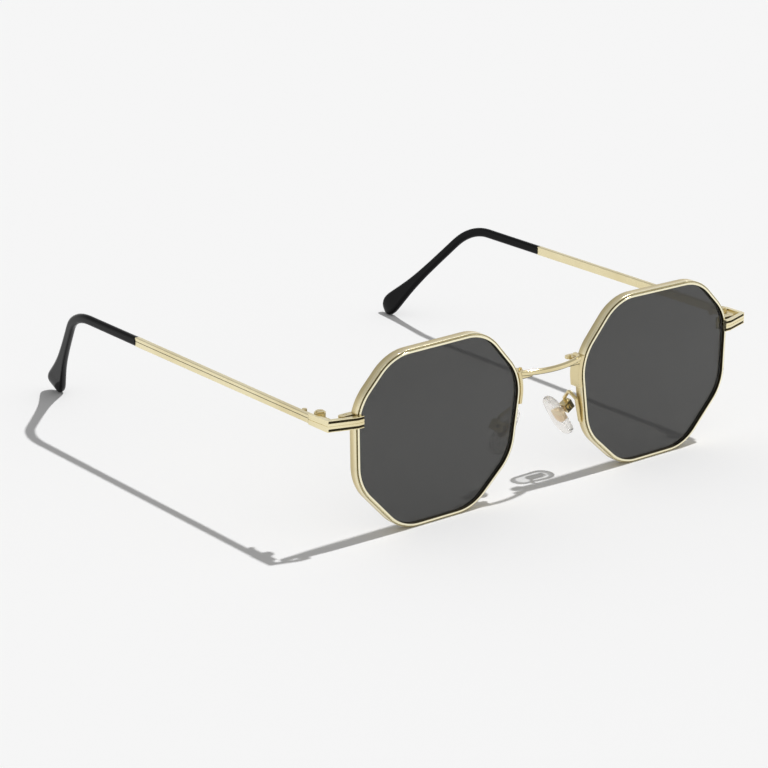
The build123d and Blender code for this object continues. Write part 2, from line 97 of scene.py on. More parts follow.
def length(name, description, default):
    return FloatProperty(
        name=name, description=description, default=default, min=0.0, unit="LENGTH", precision=5
    )


class MetalSettings(bpy.types.PropertyGroup):
    satin: colour("Satin Gold", "Colour of the satin metal", (0.80, 0.695, 0.42))
    bright: colour("Bright Gold", "Colour of the end pieces and temples", (0.90, 0.81, 0.53))
    satin_deep: colour("Deep Satin Gold", "Colour the satin metal drifts to", (0.71, 0.60, 0.345))
    # Polished gold: the real polished lips, and also the painted highlight on the rims just behind them
    polished: colour("Polished Gold", "Colour of the polished lips and edges", (0.98, 0.915, 0.67))
    # Painted shade: the darker gold painted towards the rims' back
    painted_back_shade: colour("Shaded Gold", "Colour the satin rims drift to at the back", (0.58, 0.49, 0.28))
    # Painted shade: near-black colour on the rims' inner walls, under the bridge, in the end pieces' grooves
    # and along the temples' line
    painted_shade: colour("Recess", "Colour in grooves and slots", (0.045, 0.036, 0.018))
    # Painted shade: the fine dark line painted just behind the rims' lip
    line: colour("Fine Line", "Colour of the fine line behind the lip", (0.30, 0.25, 0.13))
    satin_roughness: share("Satin Roughness", "Roughness of the satin metal", 0.36)
    polished_roughness: share("Polished Roughness", "Roughness of the polished metal", 0.14)
    lip: length("Polished Lip", "Depth of the polished lip behind the rim's front", 0.33 * MM)


class LensSettings(bpy.types.PropertyGroup):
    tint: colour("Tint", "Colour of the sun lens", (0.048, 0.048, 0.046))
    tint_middle: colour(
        "Middle Tint", "Colour the lens drifts towards, most just above its middle", (0.056, 0.056, 0.054)
    )
    shade: share("Shade", "How much of the light the lens keeps from the surface under it", 0.62)


class TipSettings(bpy.types.PropertyGroup):
    black: colour("Black", "Colour of the tips", (0.004, 0.004, 0.0045))
    worn: colour("Worn Black", "Colour where the tips are rubbed", (0.007, 0.007, 0.0075))
    roughness: share("Roughness", "Roughness of the moulded tips", 0.09)
    gloss: share("Gloss", "Strength of the tips' reflections", 0.1)


class PadSettings(bpy.types.PropertyGroup):
    silicone: colour("Silicone", "Colour of the clear pads", (0.97, 0.95, 0.92))
    milky: colour("Milky Silicone", "Colour the clear pads drift to", (0.93, 0.90, 0.86))
    insert: colour("Insert", "Colour of the plate in the pad", (0.82, 0.65, 0.43))
    roughness: share("Roughness", "Frosting of the clear pads", 0.22)
    clarity: share("Clarity", "How much of the pad is clear rather than milky", 0.9)
    rounding: length("Rounding", "Radius round the edge of the pad", 1.0 * MM)
    crown: length("Crown", "Height of the middle of the pad above its rounded edge", 0.25 * MM)
    shadow: share("Shadow", "How much light the pad's middle keeps from the surface under it", 0.15)
    edge_shadow: share("Edge Shadow", "How much light the pad's edge keeps from the surface under it", 0.85)


class StageSettings(bpy.types.PropertyGroup):
    floor: colour("Floor", "Colour of the floor", (0.92, 0.92, 0.92))
    floor_size: length("Floor Size", "Width of the floor", 8.0)
    key: FloatProperty(name="Key", description="Strength of the lamp", default=2.25, min=0.0)
    key_spread: FloatProperty(
        name="Key Spread", description="Width of the lamp as seen from the floor", default=math.radians(1.6),
        min=0.0, subtype="ANGLE",
    )
    surround: share("Surround", "Light that comes from all sides", 0.36)
    overhead: share("Overhead", "Brightness that metal shows of the space above", 0.5)


class EyeglassesSettings(bpy.types.PropertyGroup):
    metal: PointerProperty(type=MetalSettings, name="Metal", description="Metal finishes")
    lens: PointerProperty(type=LensSettings, name="Lens", description="Sun lenses")
    tip: PointerProperty(type=TipSettings, name="Tips", description="Temple tips")
    pad: PointerProperty(type=PadSettings, name="Nose Pads", description="Nose pads")
    stage: PointerProperty(type=StageSettings, name="Stage", description="Floor and light")


# Node helpers


FAR = 10.0  # farther than any place or measure on the part
UNEVEN_SCALE = 90.0  # slow unevenness under the grain
SMUDGE_LEVELS = (0.48, 0.72)  # noise where a smudge starts, and where it is full
SCRATCH_LEVELS = (0.66, 0.74)  # the same for a scratch
SCRATCH_SCALE = 420.0
SCRATCH_TURN = (0.5, 0.9, 0.3)
SCRATCH_STRETCH = (1.0, 22.0, 1.0)
DRIFT_LEVELS = (0.35, 0.65)  # noise where one colour starts to turn into another, and where it has
WIDE_DRIFT_LEVELS = (0.3, 0.7)
WALL_START = 6.0 * MM  # least distance from an inner face to the middle that it faces
WALL_SOFT = 10.0 * MM


def rgba(values):
    return (*values, 1.0)


def new_group(name, inputs, outputs):
    """Shader node group with its named inputs and outputs; returns it with its two end nodes."""
    tree = bpy.data.node_groups.new(name, "ShaderNodeTree")
    kinds = {"value": "NodeSocketFloat", "colour": "NodeSocketColor", "vector": "NodeSocketVector"}
    for label, kind, default in inputs:
        socket = tree.interface.new_socket(name=label, in_out="INPUT", socket_type=kinds[kind])
        if default is not None:
            socket.default_value = default
    for label, kind in outputs:
        tree.interface.new_socket(name=label, in_out="OUTPUT", socket_type=kinds[kind])
    return tree, tree.nodes.new("NodeGroupInput"), tree.nodes.new("NodeGroupOutput")


def operate(nodes, kind, operation):
    """New math node of a kind, set to its operation."""
    node = nodes.new(kind)
    node.operation = operation
    return node


def ramp(nodes, low, high):
    """New node that goes from 0 to 1 between two levels."""
    node = nodes.new("ShaderNodeMapRange")
    node.inputs["From Min"].default_value = low
    node.inputs["From Max"].default_value = high
    return node


def shared_group(name, build):
    """The group of that name, built the first time it is asked for."""
    found = bpy.data.node_groups.get(name)
    return found if found else build(name)


def fine_grain(name):
    """Fine satin grain: uneven roughness and a shallow height."""
    tree, entry, exit_ = new_group(
        name,
        [
            ("Vector", "vector", None),
            ("Stretch", "vector", (1.0, 1.0, 1.0)),
            ("Scale", "value", 9000.0),
            ("Roughness", "value", 0.3),
            ("Variation", "value", 0.1),
        ],
        [("Roughness", "value"), ("Height", "value")],
    )
    nodes, links = tree.nodes, tree.links
    stretch = operate(nodes, "ShaderNodeVectorMath", "MULTIPLY")
    grain = nodes.new("ShaderNodeTexNoise")
    grain.inputs["Detail"].default_value = 2.0
    cloud = nodes.new("ShaderNodeTexNoise")
    cloud.inputs["Scale"].default_value = UNEVEN_SCALE
    both = operate(nodes, "ShaderNodeMath", "ADD")
    centred = operate(nodes, "ShaderNodeMath", "SUBTRACT")
    centred.inputs[1].default_value = 1.0
    uneven = operate(nodes, "ShaderNodeMath", "MULTIPLY_ADD")
    links.new(entry.outputs["Vector"], stretch.inputs[0])
    links.new(entry.outputs["Stretch"], stretch.inputs[1])
    links.new(stretch.outputs["Vector"], grain.inputs["Vector"])
    links.new(entry.outputs["Scale"], grain.inputs["Scale"])
    links.new(entry.outputs["Vector"], cloud.inputs["Vector"])
    links.new(grain.outputs["Fac"], both.inputs[0])
    links.new(cloud.outputs["Fac"], both.inputs[1])
    links.new(both.outputs["Value"], centred.inputs[0])
    links.new(centred.outputs["Value"], uneven.inputs[0])
    links.new(entry.outputs["Variation"], uneven.inputs[1])
    links.new(entry.outputs["Roughness"], uneven.inputs[2])
    links.new(uneven.outputs["Value"], exit_.inputs["Roughness"])
    links.new(grain.outputs["Fac"], exit_.inputs["Height"])
    return tree


def soft_band(name):
    """1 where a coordinate lies between Low and High, falling to 0 over Soft."""
    tree, entry, exit_ = new_group(
        name,
        [
            ("Coordinate", "value", None),
            ("Low", "value", 0.0),
            ("High", "value", 1.0),
            ("Soft", "value", 0.0001),
        ],
        [("Mask", "value")],
    )
    nodes, links = tree.nodes, tree.links
    above = operate(nodes, "ShaderNodeMath", "SUBTRACT")
    below = operate(nodes, "ShaderNodeMath", "SUBTRACT")
    nearest = operate(nodes, "ShaderNodeMath", "MINIMUM")
    slope = operate(nodes, "ShaderNodeMath", "DIVIDE")
    slope.use_clamp = True
    links.new(entry.outputs["Coordinate"], above.inputs[0])
    links.new(entry.outputs["Low"], above.inputs[1])
    links.new(entry.outputs["High"], below.inputs[0])
    links.new(entry.outputs["Coordinate"], below.inputs[1])
    links.new(above.outputs["Value"], nearest.inputs[0])
    links.new(below.outputs["Value"], nearest.inputs[1])
    links.new(nearest.outputs["Value"], slope.inputs[0])
    links.new(entry.outputs["Soft"], slope.inputs[1])
    links.new(slope.outputs["Value"], exit_.inputs["Mask"])
    return tree


def handling_marks(name):
    """Faint smudges crossed by hair-fine scratches."""
    tree, entry, exit_ = new_group(
        name,
        [("Vector", "vector", None), ("Scale", "value", 60.0), ("Amount", "value", 0.5)],
        [("Mask", "value")],
    )
    nodes, links = tree.nodes, tree.links
    smudge = nodes.new("ShaderNodeTexNoise")
    smudge.inputs["Detail"].default_value = 4.0
    edge = ramp(nodes, *SMUDGE_LEVELS)
    turned = nodes.new("ShaderNodeMapping")
    turned.inputs["Rotation"].default_value = SCRATCH_TURN
    turned.inputs["Scale"].default_value = SCRATCH_STRETCH
    scratch = nodes.new("ShaderNodeTexNoise")
    scratch.inputs["Scale"].default_value = SCRATCH_SCALE
    scratch.inputs["Detail"].default_value = 1.0
    hair = ramp(nodes, *SCRATCH_LEVELS)
    most = operate(nodes, "ShaderNodeMath", "MAXIMUM")
    scaled = operate(nodes, "ShaderNodeMath", "MULTIPLY")
    links.new(entry.outputs["Vector"], smudge.inputs["Vector"])
    links.new(entry.outputs["Scale"], smudge.inputs["Scale"])
    links.new(smudge.outputs["Fac"], edge.inputs["Value"])
    links.new(entry.outputs["Vector"], turned.inputs["Vector"])
    links.new(turned.outputs["Vector"], scratch.inputs["Vector"])
    links.new(scratch.outputs["Fac"], hair.inputs["Value"])
    links.new(edge.outputs["Result"], most.inputs[0])
    links.new(hair.outputs["Result"], most.inputs[1])
    links.new(most.outputs["Value"], scaled.inputs[0])
    links.new(entry.outputs["Amount"], scaled.inputs[1])
    links.new(scaled.outputs["Value"], exit_.inputs["Mask"])
    return tree


class Finish:
    """A material with its shader, its coordinates and the groups placed in it."""

    def __init__(self, name):
        self.material = bpy.data.materials.new(name)
        self.material.use_nodes = True
        self.nodes = self.material.node_tree.nodes
        self.links = self.material.node_tree.links
        self.shader = self.nodes["Principled BSDF"]
        coordinates = self.nodes.new("ShaderNodeTexCoord").outputs
        self.place, self.normal = coordinates["Object"], coordinates["Normal"]
        self.axis = self.split(self.place)

    def split(self, vector):
        """The X, Y and Z outputs of a vector."""
        node = self.nodes.new("ShaderNodeSeparateXYZ")
        self.links.new(vector, node.inputs["Vector"])
        return node.outputs

    def constant(self, **values):
        for name, value in values.items():
            self.shader.inputs[name.replace("_", " ")].default_value = value

    def group(self, label, build, **values):
        node = self.nodes.new("ShaderNodeGroup")
        node.node_tree = shared_group(label, build)
        if "Vector" in node.inputs:
            self.links.new(self.place, node.inputs["Vector"])
        for name, value in values.items():
            node.inputs[name].default_value = value
        return node

    def band_of(self, socket, low, high, soft):
        node = self.group("Soft Band", soft_band, Low=low, High=high, Soft=soft)
        self.links.new(socket, node.inputs["Coordinate"])
        return node.outputs["Mask"]

    def band(self, axis, low, high, soft):
        return self.band_of(self.axis[axis], low, high, soft)

    def below(self, socket, limit, soft):
        """1 well below a limit, falling over soft to 0 at the limit."""
        return self.band_of(socket, -FAR, limit, soft)

    def above(self, socket, limit, soft):
        """0 up to a limit, rising over soft to 1 beyond it."""
        return self.band_of(socket, limit, FAR, soft)

    def outward(self, direction):
        """Distance along a direction, with every coordinate taken as positive, so that both sides match."""
        positive = operate(self.nodes, "ShaderNodeVectorMath", "ABSOLUTE")
        along = operate(self.nodes, "ShaderNodeVectorMath", "DOT_PRODUCT")
        along.inputs[1].default_value = direction
        self.links.new(self.place, positive.inputs[0])
        self.links.new(positive.outputs["Vector"], along.inputs[0])
        return along.outputs["Value"]

    def inner_wall(self, middle_x, middle_z):
        """1 on faces that look in towards the middle of a ring that stands upright, facing front."""
        centred = operate(self.nodes, "ShaderNodeVectorMath", "SUBTRACT")
        centred.inputs[1].default_value = (middle_x, 0, middle_z)
        level = operate(self.nodes, "ShaderNodeVectorMath", "MULTIPLY")
        level.inputs[1].default_value = (1, 0, 1)
        towards = operate(self.nodes, "ShaderNodeVectorMath", "DOT_PRODUCT")
        self.links.new(self.place, centred.inputs[0])
        self.links.new(centred.outputs["Vector"], level.inputs[0])
        self.links.new(level.outputs["Vector"], towards.inputs[0])
        self.links.new(self.normal, towards.inputs[1])
        return self.below(towards.outputs["Value"], -WALL_START, WALL_SOFT)

    def mix(self, mask, start, end):
        """Colour that goes from start to end by the mask; each is a colour or a socket."""
        node = self.nodes.new("ShaderNodeMix")
        node.data_type = "RGBA"
        self.links.new(mask, node.inputs["Factor"])
        for socket, value in ((node.inputs[6], start), (node.inputs[7], end)):
            if isinstance(value, bpy.types.NodeSocket):
                self.links.new(value, socket)
            else:
                socket.default_value = rgba(value)
        return node.outputs[2]

    def blend(self, mask, start, end):
        """Value that goes from start to end by the mask; each is a number or a socket."""
        node = self.nodes.new("ShaderNodeMix")
        self.links.new(mask, node.inputs["Factor"])
        for socket, value in ((node.inputs[2], start), (node.inputs[3], end)):
            if isinstance(value, bpy.types.NodeSocket):
                self.links.new(value, socket)
            else:
                socket.default_value = value
        return node.outputs[0]

    def joined(self, operation, masks):
        found = masks[0]
        for mask in masks[1:]:
            node = operate(self.nodes, "ShaderNodeMath", operation)
            self.links.new(found, node.inputs[0])
            self.links.new(mask, node.inputs[1])
            found = node.outputs["Value"]
        return found

    def highest(self, *masks):
        return self.joined("MAXIMUM", masks)

    def lowest(self, *masks):
        return self.joined("MINIMUM", masks)

    def cloud(self, scale, levels=DRIFT_LEVELS):
        """Slow noise, spread from 0 to 1 between two levels."""
        noise = self.nodes.new("ShaderNodeTexNoise")
        noise.inputs["Scale"].default_value = scale
        self.links.new(self.place, noise.inputs["Vector"])
        spread = ramp(self.nodes, *levels)
        self.links.new(noise.outputs["Fac"], spread.inputs["Value"])
        return spread.outputs["Result"]

    def feed(self, name, socket):
        self.links.new(socket, self.shader.inputs[name])

    def bump(self, height, depth):
        node = self.nodes.new("ShaderNodeBump")
        node.inputs["Distance"].default_value = depth
        self.links.new(height, node.inputs["Height"])
        self.links.new(node.outputs["Normal"], self.shader.inputs["Normal"])


def dress(material, *names):
    """Give the pieces of these names this material on every slot."""
    for name in names:
        for slot in frame["nodes"][name].material_slots:
            slot.material = material


def both(*names):
    return [f"{name}_{side}" for name in names for side in SIDES]


def settings():
    return bpy.context.scene.eyeglasses


MARKED_ROUGHNESS = 0.6  # of metal that has been handled
# Roughness where painted shade lies
PAINTED_SHADE_ROUGHNESS = 0.7
GRAIN_DEPTH = 0.004 * MM
TONE_SCALE = 55.0


def gold(
    name, stretch=(1.0, 1.0, 1.0), tones=None, polish_and_highlight=None, shade=None, line=None, painted_shade=None,
    roughness=None, grain_depth=GRAIN_DEPTH,
):
    """Pale gold metal: satin, with a polish and painted highlight, a painted shade, a painted shade line or
    painted shade in recesses, where a mask says.
    """
    metal = settings().metal
    finish = Finish(name)
    finish.constant(Metallic=1.0)
    satin = metal.satin_roughness if roughness is None else roughness
    grain = finish.group("Fine Grain", fine_grain, Stretch=stretch, Roughness=satin, Variation=0.12)
    marks = finish.group("Handling Marks", handling_marks, Scale=140.0, Amount=0.12)
    tone = finish.mix(finish.cloud(TONE_SCALE), *(tones or (metal.satin, metal.satin_deep)))
    rough = grain.outputs["Roughness"]
    # Painted shade: the tone drifts to a darker gold where the mask says
    if shade:
        tone = finish.mix(shade(finish), tone, metal.painted_back_shade)
    # Polish, and painted highlight, where the mask says
    if polish_and_highlight:
        mask = polish_and_highlight(finish)
        tone = finish.mix(mask, tone, metal.polished)
        rough = finish.blend(mask, rough, metal.polished_roughness)
    rough = finish.blend(marks.outputs["Mask"], rough, MARKED_ROUGHNESS)
    # Painted shade line where the mask says
    if line:
        tone = finish.mix(line(finish), tone, metal.line)
    # Painted shade where the mask says
    if painted_shade:
        mask = painted_shade(finish)
        tone = finish.mix(mask, tone, metal.painted_shade)
        rough = finish.blend(mask, rough, PAINTED_SHADE_ROUGHNESS)
    finish.feed("Base Color", tone)
    finish.feed("Roughness", rough)
    finish.bump(grain.outputs["Height"], grain_depth)
    return finish.material


# Operators


class EYEGLASSES_OT_rims(bpy.types.Operator):
    """Satin rims with a polished front lip, a painted highlight and a painted shade line behind it, painted
    shade at their back and on their inner wall; their lugs and closing blocks
    """

    bl_idname = "eyeglasses.rims"
    bl_label = "Rims"

    # Places behind the rims' front, each with the length over which it fades
    LIP_SOFT = 0.02 * MM
    # Painted shade line just behind the lip
    LINE_START, LINE_END, LINE_SOFT = 0.335 * MM, 0.375 * MM, 0.01 * MM
    GLOW_END, GLOW_SOFT = 1.6 * MM, 1.7 * MM  # painted highlight: the rim is painted brightest next to its lip
    SHADE_START, SHADE_SOFT = 1.2 * MM, 1.4 * MM  # painted shade, deepest at the rim's back
    WALL_END, WALL_SOFT = 1.1 * MM, 0.08 * MM  # painted shade on the inner wall in front of the lens

    # The polished lip itself, and a painted highlight that fades out behind it
    def lip(self, finish):
        front = finish.below(finish.axis["Y"], FRONT_Y + settings().metal.lip, self.LIP_SOFT)
        painted_highlight = finish.below(finish.axis["Y"], FRONT_Y + self.GLOW_END, self.GLOW_SOFT)
        return finish.highest(front, painted_highlight)

    # Painted shade towards the rim's back
    def back(self, finish):
        return finish.above(finish.axis["Y"], FRONT_Y + self.SHADE_START, self.SHADE_SOFT)

    # Painted shade in the fine line behind the lip
    def fine_line(self, finish):
        return finish.band("Y", FRONT_Y + self.LINE_START, FRONT_Y + self.LINE_END, self.LINE_SOFT)

    # Painted shade on the inner wall that faces the lens
    def inner_wall(self, finish, middle_x):
        shown = finish.below(finish.axis["Y"], FRONT_Y + self.WALL_END, self.WALL_SOFT)
        return finish.lowest(shown, finish.inner_wall(middle_x, LENS_Z))

    def execute(self, context):
        for side, middle_x in zip(SIDES, (LENS_X, -LENS_X)):
            material = gold(
                f"Rim Gold {side.capitalize()}", polish_and_highlight=self.lip, shade=self.back, line=self.fine_line,
                painted_shade=lambda finish: self.inner_wall(finish, middle_x),
            )
            dress(material, f"rim_{side}")
        blocks = both("bridge_lug", "closing_block_upper", "closing_block_lower")
        dress(gold("Block Gold", roughness=0.28), *blocks)
        return {"FINISHED"}


class EYEGLASSES_OT_bridge(bpy.types.Operator):
    """Polished bridge, with painted shade underneath"""

    bl_idname = "eyeglasses.bridge"
    bl_label = "Bridge"

    SHADE_SLOPE = -0.35  # upward part of the normal below which painted shade darkens the metal
    SHADE_SOFT = 0.35

    # Painted shade on faces that look downwards
    def underside(self, finish):
        return finish.below(finish.split(finish.normal)["Z"], self.SHADE_SLOPE, self.SHADE_SOFT)

    def execute(self, context):
        material = gold(
            "Bridge Gold", stretch=(0.12, 1.0, 1.0), painted_shade=self.underside, roughness=0.07,
            grain_depth=0.001 * MM,
        )
        dress(material, "bridge")
        return {"FINISHED"}


class EYEGLASSES_OT_endpieces(bpy.types.Operator):
    """End pieces with painted shade in the grooves between bright ridges"""

    bl_idname = "eyeglasses.endpieces"
    bl_label = "End Pieces"

    RISE = 8.2 * MM  # middle of the end piece, above the middle of the lenses
    GROOVE_NEAR, GROOVE_FAR = 0.67 * MM, 1.29 * MM  # sides of each groove, from that middle
    GROOVE_SOFT = 0.02 * MM
    SKIN = 0.9 * MM  # how deep under the outer face the grooves get painted shade
    SKIN_SOFT = 0.04 * MM
    # Outer face in plan: out from the middle of the eyeglasses, and ahead of the rims' front
    FACE_START = Vector((61.6 * MM, 1.1 * MM))
    FACE_END = Vector((68.9 * MM, -1.2 * MM))
    GROOVES_END = 1.3 * MM  # behind the rims' front

    # Painted shade in the grooves on the front of the end piece
    def grooves(self, finish):
        run = self.FACE_END - self.FACE_START
        facing = Vector((-run.y, run.x, 0)).normalized()
        outer_face = facing.dot(Vector((self.FACE_START.x, self.FACE_START.y - FRONT_Y, 0)))
        middle = LENS_Z + self.RISE
        upper = finish.band("Z", middle + self.GROOVE_NEAR, middle + self.GROOVE_FAR, self.GROOVE_SOFT)
        lower = finish.band("Z", middle - self.GROOVE_FAR, middle - self.GROOVE_NEAR, self.GROOVE_SOFT)
        skin = finish.above(finish.outward(facing), outer_face - self.SKIN, self.SKIN_SOFT)
        front = finish.below(finish.axis["Y"], FRONT_Y + self.GROOVES_END, self.SKIN_SOFT)
        return finish.lowest(finish.highest(upper, lower), skin, front)

    def execute(self, context):
        metal = settings().metal
        material = gold(
            "End Piece Gold", tones=(metal.bright, metal.satin), painted_shade=self.grooves, roughness=0.18,
            grain_depth=0.002 * MM,
        )
        dress(material, *both("endpiece"))
        return {"FINISHED"}


class EYEGLASSES_OT_hinges(bpy.types.Operator):
    """Hinge leaves and every screw"""

    bl_idname = "eyeglasses.hinges"
    bl_label = "Hinges and Screws"

    def execute(self, context):
        dress(gold("Hinge Gold", roughness=0.3), *both("hinge_front", "hinge_temple"))
        dress(gold("Screw Gold", roughness=0.24), *both("hinge_screw", "closing_screw", "pad_screw"))
        return {"FINISHED"}


class EYEGLASSES_OT_temples(bpy.types.Operator):
    """Temples brushed along their length, with a painted shade line on the outer face"""

    bl_idname = "eyeglasses.temples"
    bl_label = "Temples"

    LINE_RISE = 8.45 * MM  # above the middle of the lenses
    LINE_HALF = 0.09 * MM  # half the height of the line
    LINE_SOFT = 0.02 * MM
    LINE_DEPTH = 69.0 * MM  # the line shows only farther out than this
    DEPTH_SOFT = 0.04 * MM

    # Painted shade along a line on the outer face
    def line(self, finish):
        rise = LENS_Z + self.LINE_RISE
        level = finish.band("Z", rise - self.LINE_HALF, rise + self.LINE_HALF, self.LINE_SOFT)
        return finish.lowest(level, finish.above(finish.outward((1, 0, 0)), self.LINE_DEPTH, self.DEPTH_SOFT))

    def execute(self, context):
        metal = settings().metal
        material = gold(
            "Temple Gold", stretch=(1.0, 0.04, 1.0), tones=(metal.bright, metal.satin), painted_shade=self.line,
            roughness=0.28,
        )
        dress(material, *both("temple"))
        return {"FINISHED"}


class EYEGLASSES_OT_tips(bpy.types.Operator):
    """Glossy black temple tips"""

    bl_idname = "eyeglasses.tips"
    bl_label = "Temple Tips"

    GRAIN_DEPTH = 0.006 * MM
    MARKED_ROUGHNESS = 0.4

    def execute(self, context):
        tip = settings().tip
        finish = Finish("Tip Black")
        finish.constant(Specular_IOR_Level=tip.gloss)
        grain = finish.group("Fine Grain", fine_grain, Scale=2600.0, Roughness=tip.roughness, Variation=0.08)
        marks = finish.group("Handling Marks", handling_marks, Scale=70.0, Amount=0.2)
        finish.feed("Base Color", finish.mix(marks.outputs["Mask"], tip.black, tip.worn))
        rough = finish.blend(marks.outputs["Mask"], grain.outputs["Roughness"], self.MARKED_ROUGHNESS)
        finish.feed("Roughness", rough)
        finish.bump(grain.outputs["Height"], self.GRAIN_DEPTH)
        dress(finish.material, *both("temple_tip"))
        return {"FINISHED"}


class EYEGLASSES_OT_lenses(bpy.types.Operator):
    """Dark grey sun lenses"""

    bl_idname = "eyeglasses.lenses"
    bl_label = "Lenses"

    # The tint starts to drift this far below the middle, and is back this far above it
    DRIFT_DOWN, DRIFT_UP, DRIFT_SOFT = 22.0 * MM, 30.0 * MM, 45.0 * MM

    def execute(self, context):
        lens = settings().lens
        finish = Finish("Sun Lens")
        finish.constant(Transmission_Weight=1.0, IOR=1.5, Specular_IOR_Level=0.3)
        rise = finish.band("Z", LENS_Z - self.DRIFT_DOWN, LENS_Z + self.DRIFT_UP, self.DRIFT_SOFT)
        finish.feed("Base Color", finish.mix(rise, lens.tint, lens.tint_middle))
        marks = finish.group("Handling Marks", handling_marks, Scale=45.0, Amount=0.05)
        finish.feed("Roughness", marks.outputs["Mask"])
        ray = finish.nodes.new("ShaderNodeLightPath").outputs["Is Shadow Ray"]
        finish.feed("Alpha", finish.blend(ray, 1.0, lens.shade))
        dress(finish.material, *both("lens"))
        return {"FINISHED"}


class EYEGLASSES_OT_pad_metal(bpy.types.Operator):
    """Pad arms, boxes and inserts"""

    bl_idname = "eyeglasses.pad_metal"
    bl_label = "Pad Metal"

    GRAIN_DEPTH = 0.003 * MM
    TONE_SCALE = 180.0

    def execute(self, context):
        dress(gold("Pad Gold", roughness=0.15, grain_depth=0.001 * MM), *both("pad_arm", "pad_box"))
        finish = Finish("Insert Peach")
        finish.constant(Metallic=1.0)
        grain = finish.group("Fine Grain", fine_grain, Roughness=0.42, Variation=0.1)
        tone = finish.cloud(self.TONE_SCALE)
        finish.feed("Base Color", finish.mix(tone, settings().pad.insert, settings().metal.polished))
        finish.feed("Roughness", grain.outputs["Roughness"])
        finish.bump(grain.outputs["Height"], self.GRAIN_DEPTH)
        dress(finish.material, *both("pad_insert"))
        return {"FINISHED"}


